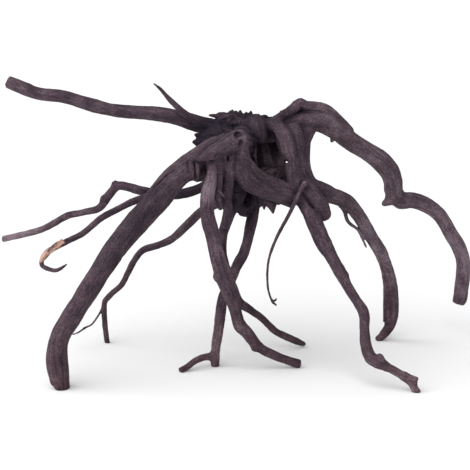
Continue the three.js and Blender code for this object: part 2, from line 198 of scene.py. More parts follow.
def limb(route, spacing=3.0, swell=0.05, width=LIMB_FUSE, round_end=False):
    """Grows a limb into the field. The limb is a chain of tapered rods: along each, the distance is the
    gap to the nearest point of its heart less the radius there, and the chain takes the least. Its ends
    are cut square or left round. Its radius swells and shrinks by a share, as the mean of sines of the
    way along it. Its side and over are two directions square to it that turn little along the way."""
    heart, radius = course(route, spacing)
    leg = np.linalg.norm(np.diff(heart, axis=0), axis=1)
    along = np.append(0, np.cumsum(leg))
    phase = dice.uniform(0, 2 * np.pi, 3)
    waves = sum(np.sin(along / length + p) for length, p in zip(WAVE_LENGTHS, phase)) / len(WAVE_LENGTHS)
    radius = np.maximum(radius * (1 + swell * waves), THINNEST)
    direction = np.gradient(heart, axis=0)
    direction /= np.linalg.norm(direction, axis=1)[:, None]
    steady = np.linalg.eigh(direction.T @ direction)[1][:, 0]
    side = np.cross(direction, steady)
    side /= np.linalg.norm(side, axis=1)[:, None]
    limbs.append({
        "heart": heart, "radius": radius, "along": along, "side": side,
        "over": np.cross(direction, side), "shift": dice.uniform(0, SHIFTS_TO, 3),
    })
    low = (heart - radius[:, None]).min(0) - REACH
    high = (heart + radius[:, None]).max(0) + REACH
    region, place = window(low, high)
    corner = np.array([axis.flat[0] for axis in place])
    own = np.full(field[region].shape, OUTSIDE, np.float32)
    for i in range(len(leg)):
        a, b = heart[i], heart[i + 1]
        thick = max(radius[i], radius[i + 1]) + REACH
        first = np.maximum(np.floor((np.minimum(a, b) - thick - corner) / STEP).astype(int), 0)
        last = np.ceil((np.maximum(a, b) + thick - corner) / STEP).astype(int) + 1
        part = tuple(slice(p, q) for p, q in zip(first, last))
        x, y, z = [np.take(axis, range(part[j].start, min(part[j].stop, axis.size)), j) - np.float32(a[j])
                   for j, axis in enumerate(place)]
        run = (b - a).astype(np.float32)
        dot = x * run[0] + y * run[1] + z * run[2]
        share = np.clip(dot / leg[i] ** 2, 0, 1)
        gap = np.sqrt(np.maximum(x * x + y * y + z * z - 2 * share * dot + (share * leg[i]) ** 2, 0))
        distance = gap - (radius[i] + share * (radius[i + 1] - radius[i]))
        for end, edge in ((0, along[i]), (-1, along[-1] - along[i + 1])):
            if edge < CUT_ZONE * radius[end] and not round_end:
                out = direction[end] * (-1 if end == 0 else 1)
                start = a - heart[end]
                beyond = (x + start[0]) * out[0] + (y + start[1]) * out[1] + (z + start[2]) * out[2]
                distance = carve(distance, -beyond, CUT_ROUNDING)
        own[part] = np.minimum(own[part], distance)
    field[region] = fuse(field[region], own, width)


BACK_STRANDS = [
    [[-20, 30, 200, 8], [-16, 39, 188, 10.5], [-9, 41, 173, 11.5], [-2, 34, 158, 10], [4, 24, 143, 6]],
    [[-2, 34, 203, 8], [2, 47, 190, 11.5], [6, 50, 175, 12], [10, 44, 159, 11], [14, 30, 142, 8]],
    [[18, 34, 202, 8], [20, 45, 189, 11], [24, 47, 174, 12], [27, 40, 158, 11.5], [27, 24, 143, 9]],
    [[38, 34, 201, 8], [40, 43, 188, 10.5], [42, 42, 174, 11], [42, 34, 160, 11], [43, 18, 147, 10]],
]
for route in BACK_STRANDS:
    limb(route, width=4.5)


# The long branch at the upper left, sawn off square at its far end, and the thin thorn that splits off
# it and points up to the left. Both are grown into the top of the crown.

limb([
    [-204, 77, 231, 5.7], [-190, 74, 226, 5.6], [-177, 69, 222, 5.6], [-155, 63, 220, 5.6],
    [-135, 57, 215, 5.6], [-118, 51, 211, 5.6], [-95, 44, 209, 5.8], [-73, 37, 208.5, 6.3],
    [-53, 31, 205.6, 6.8], [-34, 27, 200.4, 7.2], [-13, 26, 195.5, 8.6], [5, 28, 194.5, 10],
    [24, 28, 194, 9.5], [41, 26, 198, 8.5],
])
limb([
    [-73, 17, 237, 0.6], [-67, 17, 232, 1.5], [-61, 17, 225, 2], [-53, 17, 217, 2.5],
    [-44, 18, 209, 3], [-30, 18, 201.8, 3.5], [-15, 19, 195.6, 4],
], width=1.4)
limb([[-40.5, 20, 201.4, 0.8], [-31, 18, 199.6, 1.1], [-21.5, 16, 198, 1.1]], width=0.8)


# The thickest leg and its yoke. The leg runs from the knob at the front of the crown down to a cut foot
# at the front left. The yoke is a torn lip over that leg, which goes on as a bridge to the right.

limb([
    [-145.2, -84, -5, 7], [-147.2, -83, 12, 8.1], [-148.5, -81, 28, 8], [-146, -79, 42, 7.8],
    [-136.5, -76, 58, 8.1], [-117.5, -70, 86.8, 8.9], [-100.5, -64, 112, 9.1],
    [-83, -57, 133.5, 9.8], [-68, -51, 149.5, 10.1], [-55, -45, 164, 10.5],
    [-40, -35, 175.4, 10.2], [-23, -24, 186, 9.4], [-9, -16, 192.5, 8],
])
limb([
    [-35.3, -50, 182, 1.3], [-29.2, -49, 184.9, 3.3], [-21.9, -45, 188, 5.4],
    [-13, -39, 191.2, 6.9], [-5.2, -34, 195, 7.6], [-0.5, -31, 197, 7.3], [0.3, -30, 189, 6.8],
    [0.5, -29, 180.6, 7.2], [3, -27, 170.2, 9.7], [10, -25, 161.6, 10.6], [21, -22, 155.4, 9.9],
    [33.5, -18, 149.7, 9.2], [47, -14, 143.8, 9.1],
], width=2)
TORN_FLUTES = [
    [[-39.5, -47.5, 181, 2.2], [-39, -46.5, 171, 2], [-39, -41, 163.4, 0.8]],
    [[-34.6, -48, 180, 2], [-34.4, -45.5, 171.5, 1.8], [-34, -39, 162.6, 0.8]],
]
for route in TORN_FLUTES:
    limb(route, width=1)


# The legs under the crown: the front leg with its stub and knot, two strands and a torn curl beside
# its top, the middle leg with a pointed foot, and the rear leg with a toe to the left. They grew out of
# the crown's underside.

limb([
    [-21, -30, 187, 3.6], [-23.2, -40, 178, 3.9], [-23.2, -43, 170, 4.1], [-24, -45, 163.4, 4.8],
    [-26, -47, 154.4, 5.9], [-26.4, -48, 142.3, 6.1], [-25.4, -50, 131.9, 6], [-22, -52, 118, 5.8],
    [-19.5, -53, 106.7, 5.9], [-16.7, -53, 96.6, 6.1], [-13, -52, 85.4, 6.8], [-8.1, -49, 72, 6.4],
    [-4.7, -45, 59.9, 5.7], [-2.7, -43, 50.8, 5.1], [0.2, -40, 40.9, 5.6], [6.7, -37, 33.2, 4.8],
    [12.2, -34, 25, 4.5], [18, -33, 19, 3.8], [25.5, -31, 14.2, 3.7], [38.3, -28, 8, 3.5],
    [46, -26, 4.8, 3.7], [51, -25, 3.2, 3.6],
])
limb([[-14, -52, 87, 4.2], [-21.4, -54, 85, 1.9]])
limb([[13.5, -34, 23, 4], [11.8, -35, 17.5, 1.8]])
INNER_STRANDS = [
    [[-18, -38, 184, 4], [-17.6, -37, 174, 3.8], [-17.6, -35, 163, 3.8], [-18.8, -35, 150, 3.8],
     [-15.6, -31, 137.6, 1.8]],
    [[-9.8, -38, 186, 5.6], [-9.4, -34, 175, 5], [-9.2, -29, 161, 4.4], [-11.4, -24, 147, 4.2],
     [-9.4, -15, 132, 4.2], [-11.6, -5, 118, 3.8]],
]
for route in INNER_STRANDS:
    limb(route, width=2.4)
limb([[-20.8, -38, 158.8, 1.3], [-17.1, -39, 154.6, 1.7], [-12.6, -36, 149, 0.8]], width=0.8)
limb([
    [0, 0, 158, 8.5], [-2, -3, 147, 7.2], [-7, -3, 134, 5.4], [-12, -1, 120, 4.5],
    [-15, 2, 106.5, 4.1], [-15, 6, 92, 4], [-11, 12, 75, 4], [-5, 17, 58, 3.9],
    [-1, 20, 46.5, 3.8], [9.1, 23, 38.3, 3.3], [19.6, 26, 29.6, 3.1], [31.2, 30, 17.2, 3],
    [40, 33, 11.6, 3.1], [49.8, 36, 6.4, 3.1], [56, 38, 3.2, 2.4], [58.8, 39, 2.4, 1.2],
])
limb([
    [14, 16, 160, 8.5], [12, 14, 148, 6.6], [12, 13, 137, 5.5], [11.2, 11, 124.3, 5],
    [9, 8, 114.9, 4.6], [6.2, 4.5, 101.7, 4.2], [2.8, 1, 92, 4.4], [-2.3, -3, 83.3, 4.3],
    [-8.7, -8, 70.5, 4.3], [-14.6, -11, 56.4, 4.4], [-16, -13, 47.2, 4.6], [-18, -16, 30.5, 4.1],
    [-20.2, -19, 18, 3.9], [-21, -20.5, 7.8, 4], [-20.6, -21, -1, 3.6],
])
limb([
    [-20, -19, 8.2, 3.3], [-30, -24, 8.8, 2.8], [-38, -30, 6.9, 2.6], [-44, -35, 3.6, 2.6],
    [-50.4, -39, 1, 2.8],
])


# The legs at the right: the right leg past two bumps and a knee to a split foot, the outer right leg
# arched over to a pointed foot at the back, with a strand split off its front and a loose forked twig,
# and the lobe that hangs between them. They grew out of the foot of the bridge.

limb([
    [48, -10, 158, 8], [48.7, -13, 150.8, 7], [53.7, -15, 141, 6.2], [58.3, -17, 132.9, 6.1],
    [63.4, -20, 122.4, 7.2], [68.8, -25, 110, 6.6], [76.8, -34, 97, 5.5], [83, -41, 87, 5],
    [88.3, -46, 77, 4.1], [96.7, -53, 64.5, 3.9], [101.4, -59, 57, 4.3], [101.7, -66, 44, 3.9],
    [102.6, -73, 33.2, 4.2], [106.2, -78, 24, 5.4], [112.6, -81, 20.8, 5.4], [122, -85, 17.2, 3.4],
    [132, -90, 12.7, 3.2], [143, -94, 9.4, 2.9],
])
limb([[84.6, -41, 84, 4], [88.6, -43, 84.6, 1.8]])
limb([[113.4, -83.5, 26.6, 2.6], [115.4, -86, 24.4, 2.3]], round_end=True)
limb([[132, -89, 12, 2.9], [138, -92, 7, 2.9], [143.5, -95, -1, 3.1]])
limb([
    [50, -4, 150, 9], [63, -1, 149, 9], [78, 8, 142, 7.1], [90, 15, 136.6, 6.5],
    [98.4, 22, 128.2, 6.2], [106.2, 29, 116.2, 6], [114.6, 37, 100.6, 5.8], [123.6, 45, 85, 5.7],
    [131, 52, 68, 5.7], [135.2, 57, 52, 5.7], [136.8, 60, 36, 5.7], [136.8, 61, 23, 5.5],
    [134.6, 61, 13, 5], [129.4, 60, 5.2, 4], [123, 59, 0.6, 2.4],
])
limb([
    [117.6, 41, 96.6, 2.6], [123.4, 47, 84.5, 3.2], [128.5, 52, 68.7, 3.4], [131, 55, 52.2, 3.5],
    [132, 57, 34.9, 3.6], [131.8, 58, 17.4, 3.2],
], width=1)
limb([
    [85.8, 15, 133.5, 2.2], [90, 19, 126.6, 1.6], [93.4, 23, 116.6, 1.4], [102.6, 28, 108.1, 1.3],
    [106.4, 31, 100.4, 1.1], [110.6, 33, 91, 0.9],
], width=1.5)
limb([[104.9, 30, 105.9, 1.1], [108.2, 32, 101, 1], [111.9, 34, 97, 1]], width=1.5)
limb([
    [53, -10, 154, 6.4], [60.6, -13, 145.6, 8], [67, -13, 137, 7.8], [70.2, -13, 130.6, 6.3],
], round_end=True, width=1.6)


# The arm at the right, grown out of the torn top: over in an arch, an elbow with a spur, and down to a
# blunt end that hangs free. A second strand lies along its top, with a knob and small burrs, and a
# splinter frays from its underside.

limb([
    [26, 24, 195, 7.5], [37, 25, 199, 8], [48, 25, 204, 8.5], [60, 26, 205, 9.9],
    [72, 28, 203.4, 10.2], [83, 32, 196, 9.2], [95, 36, 185, 7.9], [109, 40, 176.3, 8],
    [121.2, 45, 167.4, 8.4], [130.6, 50, 156.6, 8.4], [134.6, 54, 146, 8], [136, 57, 136, 7.9],
    [142, 60, 128.6, 7.8], [153, 64, 127.7, 7.1], [165, 70, 122.5, 6.8], [176, 75, 114.5, 6.6],
    [183.5, 79, 105, 6.1], [191, 83, 92, 6.1], [198.5, 86, 80, 6.2], [203, 89, 67, 6.2],
    [203.4, 91, 52, 6.2], [202.4, 92, 40, 6.4], [201.4, 92, 30.5, 6.4], [200.2, 92, 25.8, 5.6],
])
limb([[139, 56, 136, 5.4], [131.4, 54, 128.9, 4.5], [125.2, 53, 125.4, 1.7]])
limb([[82, 31, 190, 3], [79.5, 29, 187, 2], [78, 29, 184.4, 0.8]], width=1)
limb([
    [21.5, 21, 200.6, 4.2], [30.8, 20, 204.8, 4.4], [38, 20, 209.6, 4.2], [43, 19, 213.2, 4],
    [47.4, 19, 217, 4.2], [51.2, 20, 220, 4.3], [55.4, 21, 217.6, 4.1], [62.2, 22, 217, 4.2],
    [71.7, 24, 215.2, 4.1], [79.6, 28, 209.4, 4], [87.6, 31, 201.2, 4], [95.7, 35, 192.4, 3.4],
], width=1.6)
TOP_BURRS = [
    [[36, 18, 210, 3], [35, 17, 213.8, 1.2]],
    [[41, 18, 213, 2.6], [41.8, 17, 217.4, 1.4]],
    [[46, 19, 217, 2.6], [46.6, 18, 221.6, 1.2]],
]
for route in TOP_BURRS:
    limb(route, spacing=2.0, width=1)


# The thin roots at the left: two rootlets, the lower one broken back to pale wood near its hooked tip,
# and the back left leg with a hair root that curls away from its knee.

limb([
    [0, 9, 168, 5], [-18, 7, 160, 4], [-34, 5, 149, 4], [-51, 4, 144.2, 4.3],
    [-68, 4, 144.2, 3.9], [-83, 6, 146.4, 3.9], [-94, 9, 149.3, 3.7], [-103.5, 12, 150, 3.6],
    [-109.5, 15, 144, 3.4], [-115, 18, 136.4, 3.7], [-120.5, 21, 129, 3.3], [-134, 27, 124, 2.9],
    [-149, 33, 120, 3], [-161, 38, 112.5, 2.8], [-173, 43, 105.5, 2.8], [-191, 49, 99.5, 2.7],
    [-209.5, 53, 94.5, 2.7],
])
limb([[-105.6, 14, 150.2, 3], [-107.6, 13, 153.4, 1.5]])
limb([[-115.6, 17, 137.4, 3.2], [-118.4, 16, 138, 2]])
limb([
    [-60, 3, 145, 3.4], [-77, -5, 143.6, 3.3], [-90, -11, 140.2, 3], [-104, -16, 134.2, 2.8],
    [-115, -20, 129, 2.8], [-122, -23, 123.4, 2.5], [-131, -25, 116, 2.5], [-143, -28, 110.5, 2.4],
    [-153, -31, 106, 2.5], [-159, -33, 102.6, 2.4], [-163.5, -35, 98, 2], [-164.2, -37, 92, 2],
    [-159.6, -40, 89.8, 2], [-152, -43, 88.8, 1.8], [-147, -45, 91.4, 1.3], [-142, -46, 95.2, 0.6],
], spacing=2.0)
SCAR_SLIVERS = [
    [[-147, -32.5, 113, 0.9], [-154, -34.5, 108.4, 1], [-160, -36.5, 102.6, 0.8]],
    [[-150, -31, 107, 0.9], [-157, -33.5, 102.2, 1], [-162.6, -36, 96, 0.9]],
]
for route in SCAR_SLIVERS:
    limb(route, spacing=2.0, width=0.8)
limb([
    [8, 20, 150, 8], [-2, 22, 140, 5.6], [-15, 27, 133, 4.4], [-30, 31, 126, 3.9],
    [-41, 35, 115.5, 3.8], [-51.5, 39, 105, 3.6], [-60, 42, 96.8, 3.3], [-73, 44, 90.4, 3],
    [-84.6, 45, 86.5, 3], [-91.8, 46, 78.5, 2.9], [-97.7, 47, 67.4, 2.8], [-104.5, 48, 54, 2.8],
    [-114, 49, 45.5, 2.7], [-119.5, 50, 39, 2.5], [-120.5, 50, 30, 2.4], [-120, 51, 17, 2.4],
    [-118, 52, -2, 2.4],
])
limb([
    [-120, 50, 35, 1.4], [-123.1, 49, 30.1, 1.1], [-127.4, 46, 23.6, 0.8], [-131.2, 43, 19.2, 0.8],
    [-135.3, 39, 18.1, 0.8], [-137, 36, 17.8, 1.2], [-141.2, 30, 16, 0.75], [-145, 24, 15.8, 0.72],
    [-149.5, 17, 18.6, 0.72],
], spacing=2.0, width=1.5)


# The right side of the crown: two pillars of wood between the arm and the legs, with a third between
# them, and the thin strand that hangs from their foot to a forked tip. They grew with the crown.

limb([
    [27.4, 20, 199.2, 7.6], [33.2, 13, 196.4, 8], [38.1, 5, 190.3, 7.5], [40.9, 0, 182.6, 7],
    [43, -4, 174.8, 6.6], [44.2, -7, 166.8, 6.5], [46.3, -9, 158.6, 6.3], [48.8, -11, 150.5, 6],
    [52, -13, 141.5, 5.4],
], width=4)
limb([[44, 18, 200, 7], [48, 11, 190, 7], [49, 5, 178, 6.4], [50, 1, 165, 6.4], [52, -4, 152, 6]], width=3)
limb([
    [59, 24, 198.5, 7], [55.2, 18, 189.4, 6], [54.4, 12, 180.7, 5.6], [54, 8, 172.8, 5.4],
    [55.3, 5, 164.7, 5.4], [58.5, 1, 156, 5.6],
], width=1.8)
limb([
    [55, -21, 159.1, 2.7], [50.7, -24, 153.7, 2], [42.3, -28, 136, 1.6], [30, -29, 112, 1.35],
    [23.9, -28, 93, 1.1], [23.3, -27, 73, 1.05], [25, -26, 64, 1], [28, -25, 56, 0.9],
], spacing=2.0, width=1.5)
limb([[27, -25, 58.6, 0.9], [30, -24.6, 58.4, 0.75], [31, -24.4, 61, 0.72]], spacing=2.0, width=0.8)
limb([[27.6, -25, 57, 0.9], [31.4, -25, 54, 0.75]], spacing=2.0, width=0.8)


# Inside the hollow: a rounded lump that bulges from the torn top down the left of the hollow, and a thin
# strip of wood that stands free in front of its left wall. Both grew with the crown.

limb([[13, 20, 202, 8], [15.5, 11, 198, 8.4], [16.5, 7, 193.5, 7.6]], round_end=True, width=2.4)
limb([[11.6, -1, 190, 2.6], [11.4, -5, 183, 2.7], [11.8, -9, 173, 2.5], [14.6, -13, 165, 2.6]], width=2)


# The torn edges. Where the stump was torn from its trunk the wood ends in splinters and small chips
# along the top and at the left, and a ragged skirt hangs under the bridge.

SPLINTERS = [  # root, tip, radius at the root
    ((-13, 20, 207.6), (-26.6, 19, 209.6), 3.6), ((-14, 20, 209), (-19, 20, 211.4), 3.4),
    ((-4, 22, 206), (-6.8, 22, 214.4), 3.2), ((0, 24, 207), (0.6, 24, 213.6), 3.6),
    ((5, 22, 206), (5.6, 22, 212.4), 3.4), ((9, 25, 206), (9.6, 26, 212.6), 3.2),
    ((-31, 17, 190), (-38.6, 14, 194.2), 4.8), ((-30, 16, 187), (-40.6, 14, 187.2), 6.6),
    ((-30, 16, 181), (-40, 14, 180), 6.2),
    ((11, -6, 190), (11.5, -15, 195), 4), ((9, -4, 178), (13, -14, 177), 3.6),
    ((24, -8, 146), (25.4, -9, 134.5), 8), ((19, -8, 148), (17, -8, 135.6), 5),
    ((26.4, -9, 141), (28.2, -9, 129.4), 5.4), ((33, -11, 146), (34, -10, 139), 4.6),
    ((14, -4, 150), (13, -5, 137), 4.6), ((20, -8, 144), (20.6, -9, 132.8), 3.4),
]
SPLINTER_TIP = 0.7

for root, tip, radius in SPLINTERS:
    limb([[*root, radius], [*tip, SPLINTER_TIP]], swell=0, width=1.2)

CHIP_DICE = np.random.default_rng(5)
CHIP_COUNT = 44
CHIPS_FROM, CHIPS_TO = np.array([-7, 17, 208]), np.array([28, 23, 202])  # along the torn rim
CHIPS_BACK = 13.0  # how far behind that line they reach
CHIP_LEAN = 3.4
CHIP_LEAN_SHARES = [1, 0.6, 0]  # sideways, back, up
CHIP_HEIGHT = (1, 5)
CHIP_RADIUS = (1.5, 3.2)
CHIP_TAPER = 0.8

for place_along, place_back in CHIP_DICE.random((CHIP_COUNT, 2)):
    root = CHIPS_FROM + place_along * (CHIPS_TO - CHIPS_FROM) + [0, CHIPS_BACK * place_back, 0]
    lean = CHIP_DICE.normal(0, CHIP_LEAN, 3) * CHIP_LEAN_SHARES
    tip = root + lean + [0, 0, CHIP_DICE.uniform(*CHIP_HEIGHT)]
    thick = CHIP_DICE.uniform(*CHIP_RADIUS)
    limb([[*root, thick], [*tip, CHIP_TAPER * thick]], swell=0, width=0.6)


# The small holes in the wood, the slanted cut on the foot of the thick leg, and the ground the feet were
# trimmed to.

PITS = [  # middle, half sizes
    ((-1.6, -40, 201.2), (3.5, 7.5, 2.8)),  # pit in the knob
    ((0.4, -38.6, 194.6), (2, 2.6, 3.1)),  # dimple below it
    ((-7.4, -47, 199), (4.8, 2.6, 0.8)),  # crease beside it
    ((-9.7, -45, 181.8), (1.1, 7, 3.6)),  # slot under the lip
    ((-9.2, -56, 71), (1.3, 1.6, 1.8)),  # dent in the front leg
    ((-14, -50, 185.2), (7.5, 7.4, 3.4)),  # dip in the face of the lip
    ((27.5, 7, 189), (3.6, 12, 8.5)),  # cleft between the lump in the hollow and the pillar
]
PIT_RIM = 0.7
ROUND_A_HOLE = 4  # how far round a hole the field is looked at

for at, half in PITS:
    at, half = np.array(at), np.array(half)
    region, place = window(at - half - ROUND_A_HOLE, at + half + ROUND_A_HOLE)
    field[region] = carve(field[region], ball(at, half, place), PIT_RIM)

CREASES = [  # start, end, radius
    ((38.7, -20, 175.7), (42.2, 90, 157.4), 1.6),  # pinhole through the pillar and the back
    ((52.6, -20, 148.8), (67.2, -19.5, 126.4), 1.2),  # between the right leg and the lobe
    ((-70.4, -54.8, 160.1), (-51.8, -49.4, 174.8), 0.9),  # along the top of the thick leg
]
CREASE_RIM = 0.8

for start, end, radius in CREASES:
    start, end = np.array(start, float), np.array(end, float)
    region, place = window(np.minimum(start, end) - ROUND_A_HOLE, np.maximum(start, end) + ROUND_A_HOLE)
    run = end - start
    offset = [axis - first for axis, first in zip(place, start)]
    share = np.clip(sum(o * r for o, r in zip(offset, run)) / (run @ run), 0, 1)
    gap = np.sqrt(sum((o - share * r) ** 2 for o, r in zip(offset, run)))
    field[region] = carve(field[region], gap - radius, CREASE_RIM)

FOOT_CUT_AT = (-149.5, 1.2)  # x and z of a point on the slanted cut
FOOT_CUT_OUT = (-0.62, -0.785)  # its outward direction in x and z
FOOT_CUT_RIM = 1
FOOT_LOW = np.array([-164, -100, -4])
FOOT_HIGH = np.array([-130, -66, 14])

region, place = window(FOOT_LOW, FOOT_HIGH)
beyond = (place[0] - FOOT_CUT_AT[0]) * FOOT_CUT_OUT[0] + (place[2] - FOOT_CUT_AT[1]) * FOOT_CUT_OUT[1]
field[region] = carve(field[region], -beyond, FOOT_CUT_RIM)

SOLE_RIM = 0.6
SOLES_BELOW = 6.0  # the field is trimmed up to this height

region, place = window(FIELD_LOW, np.array([*FIELD_HIGH[:2], SOLES_BELOW]))
field[region] = carve(field[region], place[2], SOLE_RIM)


# The skin of the wood. The surface of the field is drawn out as one mesh, and then pushed in and out
# along its normals: flutes and furrows that run along each limb, fibres, and small dents.

def surface():
    """The points and triangles where the field's distance is nought."""
    grid = openvdb.FloatGrid(REACH)
    grid.copyFromArray(np.clip(field, -REACH, REACH))
    points, triangles, quads = grid.convertToPolygons(isovalue=0.0, adaptivity=0.0)
    faces = np.vstack([triangles, quads[:, [0, 1, 2]], quads[:, [0, 2, 3]]]).astype(np.int64)
    return points.astype(float) * STEP + FIELD_LOW, faces


def normals_of(points, faces):
    """The unit sum, at each point, of its triangles' cross products."""
    corners = points[faces]
    cross = np.cross(corners[:, 1] - corners[:, 0], corners[:, 2] - corners[:, 0])
    sums = [np.bincount(faces.ravel(), np.repeat(cross[:, i], 3), len(points)) for i in range(3)]
    total = np.stack(sums, 1)
    return total / (np.linalg.norm(total, axis=1)[:, None] + 1e-12)


def beside(points, one):
    """Which points lie close to a limb and, for those, the distance from its skin, the way along it, the
    radius there, and the offset from its heart along its side and over directions."""
    heart, radius = one["heart"], one["radius"]
    low = (heart - radius[:, None]).min(0) - REACH
    high = (heart + radius[:, None]).max(0) + REACH
    near = np.flatnonzero(((points > low) & (points < high)).all(1))
    close = points[near]
    best = np.full(len(near), OUTSIDE)
    found = np.zeros((len(near), 4))
    for i in range(len(heart) - 1):
        a, b = heart[i], heart[i + 1]
        thick = max(radius[i], radius[i + 1]) + REACH
        inside = (close > np.minimum(a, b) - thick) & (close < np.maximum(a, b) + thick)
        here = np.flatnonzero(inside.all(1))
        run = b - a
        share = np.clip((close[here] - a) @ run / (run @ run), 0, 1)
        offset = close[here] - a - share[:, None] * run
        thickness = radius[i] + share * (radius[i + 1] - radius[i])
        distance = np.linalg.norm(offset, axis=1) - thickness
        better = distance < best[here]
        here, share, offset = here[better], share[better], offset[better]
        best[here] = distance[better]
        found[here, 0] = one["along"][i] + share * (one["along"][i + 1] - one["along"][i])
        found[here, 1] = thickness[better]
        found[here, 2] = offset @ one["side"][i]
        found[here, 3] = offset @ one["over"][i]
    kept = best < REACH
    return near[kept], best[kept], found[kept].T


CLOSENESS = 1.2  # how quickly a limb's own grain fades out away from its skin
LOBES_ROUND, LOBE_RADII, LOBE_LENGTH = 1.1, 3, 5  # how often round the limb, and how long
FURROWS_ROUND, FURROW_RADII, FURROW_LENGTH = 1.9, 4, 9
FIBRE_ACROSS, FIBRE_ALONG = 1.3, 9  # sizes of the coarse fibres
FINE_ACROSS, FINE_ALONG = 0.75, 5
FURROW_EDGE = 0.12  # the lower, the narrower
BULGE, FURROW_DEPTH, PLUMPNESS = 0.1, 0.04, 0.02  # as shares of the limb's radius
THREAD_SHARE, THREAD_MOST = 0.04, 0.17  # height of the fibres: share of the radius, and the most
FINE_SHARE = 0.6  # of the coarse ones' height, for fibres, rumples and dents
FIBRE_STREAK, FINE_STREAK, LOBE_STREAK, FURROW_SHADE = 0.4, 0.4, 0.2, 0.35  # paler along the fibres and lobes, and darker in the furrows, which is painted shade
RUMPLE_SIZE, FINE_RUMPLE_SIZE = (3.1, 3.1, 8), (1.6, 1.6, 5)  # on the crown
SPLIT_SIZE, SPLIT_SHIFT = (3.4, 3.4, 10), (9, 0, 0)
TEAR_LENGTH, TEAR_BREADTH, TEAR_HEIGHT = 9, 5, 4.2
TEAR_LEAN, TEAR_RISE = 11, 12  # the tears slant down to the left; the lower, the more
TORN_EDGE, SPLIT_EDGE = 0.13, 0.12
RUMPLE_HEIGHT, TORN_DEPTH, SPLIT_DEPTH = 0.6, 1.1, 0.6
# Painted shade: the tears and splits in the crown are painted darker.
RUMPLE_STREAK, TORN_SHADE, SPLIT_SHADE = 0.5, 1.0, 0.5
DENT_SIZE, FINE_DENT_SIZE, DENT_HEIGHT = 5, 2.2, 0.16


def grain_of(points):
    """The relief, streak and grain at each point: each limb's and the crown's own, mixed by e to the power
    of minus the distance over the closeness. The relief is how far the skin stands out, from lobes, fibres
    and furrows, a furrow being e to the power of minus the square of noise over its edge. The streak is a
    tone: the grain's own, with painted shade in the furrows, tears and splits. The grain is the point laid
    straight along the limb that is nearest."""
    weight = np.full(len(points), 1e-9)
    relief = np.zeros(len(points))
    streak_and_shade = np.zeros(len(points))
    strongest = np.zeros(len(points))
    grain = np.zeros((len(points), 3))
    for one in limbs:
        near, distance, (along, radius, side, over) = beside(points, one)
        share = np.exp(-np.maximum(distance, 0) / CLOSENESS)
        a, b, c = one["shift"]
        out = np.sqrt(side**2 + over**2) + 1e-6
        turn_x, turn_y = side / out, over / out
        lobe_way = along / (LOBE_RADII * radius + LOBE_LENGTH)
        furrow_way = along / (FURROW_RADII * radius + FURROW_LENGTH)
        lobes = cloud(LOBES_ROUND * turn_x + a, LOBES_ROUND * turn_y + b, lobe_way + c)
        furrow = cloud(FURROWS_ROUND * turn_x + b, FURROWS_ROUND * turn_y + c, furrow_way + a)
        fibre = cloud(side / FIBRE_ACROSS + c, over / FIBRE_ACROSS + a, along / FIBRE_ALONG + b)
        fine = cloud(side / FINE_ACROSS + a, over / FINE_ACROSS + c, along / FINE_ALONG + b)
        depth = np.exp(-((furrow / FURROW_EDGE) ** 2))
        threads = np.minimum(THREAD_SHARE * radius, THREAD_MOST) * (fibre + FINE_SHARE * fine)
        own = radius * (PLUMPNESS + BULGE * lobes - FURROW_DEPTH * depth) + threads
        weight[near] += share
        relief[near] += share * own
        paler = FIBRE_STREAK * fibre + FINE_STREAK * fine + LOBE_STREAK * lobes
        streak_and_shade[near] += share * (paler - FURROW_SHADE * depth)
        stronger = share > strongest[near]
        chosen = near[stronger]
        strongest[chosen] = share[stronger]
        grain[chosen] = np.stack([side + a, over + b, along + c], 1)[stronger]
    x, y, z = points.T
    distance = crown_distance([x, y, z])
    share = np.exp(-np.abs(distance) / CLOSENESS) * (np.abs(distance) < REACH)
    rumple = cloud(*(points / RUMPLE_SIZE).T) + FINE_SHARE * cloud(*(points / FINE_RUMPLE_SIZE).T)
    slanted = cloud(x / TEAR_LENGTH + z / TEAR_LEAN, y / TEAR_BREADTH, z / TEAR_HEIGHT - x / TEAR_RISE)
    torn = np.exp(-((slanted / TORN_EDGE) ** 2))
    split = np.exp(-((cloud(*(points / SPLIT_SIZE + SPLIT_SHIFT).T) / SPLIT_EDGE) ** 2))
    weight += share
    relief += share * (RUMPLE_HEIGHT * rumple - TORN_DEPTH * torn - SPLIT_DEPTH * split)
    streak_and_shade += share * (RUMPLE_STREAK * rumple - TORN_SHADE * torn - SPLIT_SHADE * split)
    chosen = share > strongest
    grain[chosen] = points[chosen]
    dents = cloud(*(points / DENT_SIZE).T) + FINE_SHARE * cloud(*(points / FINE_DENT_SIZE).T)
    return relief / weight + DENT_HEIGHT * dents, streak_and_shade / weight, grain


OPEN_STEPS = (1.5, 3.0, 6.0)
FIELD_EDGE = 1.001  # samples from the field's far side, past which nothing is read


def openness(points, normals):
    """How open the air is before each point, from 0 to 1: the mean, over a few steps out along the
    normal, of the field's distance there over the length of the step."""
    total = 0
    for step in OPEN_STEPS:
        at = (points + normals * step - FIELD_LOW) / STEP
        at = np.clip(at, 0, np.array(field.shape) - FIELD_EDGE)
        cell = at.astype(int)
        part = at - cell
        found = 0
        for corner in np.ndindex(2, 2, 2):
            share = np.prod(np.where(corner, part, 1 - part), axis=1)
            found = found + share * np.clip(field[tuple((cell + corner).T)], 0, step)
        total = total + found / step
    return total / len(OPEN_STEPS)


def largest_shell(faces, count):
    """Which points belong to the shell with the most points. Each point takes the least number found in
    its triangles, and the number that number's own point has taken, until none changes."""
    label = np.arange(count)
    while True:
        least = label.copy()
        np.minimum.at(least, faces.ravel(), np.repeat(label[faces].min(1), 3))
        least = np.minimum(least, least[least])
        if (least == label).all():
            return label == np.bincount(label).argmax()
        label = least


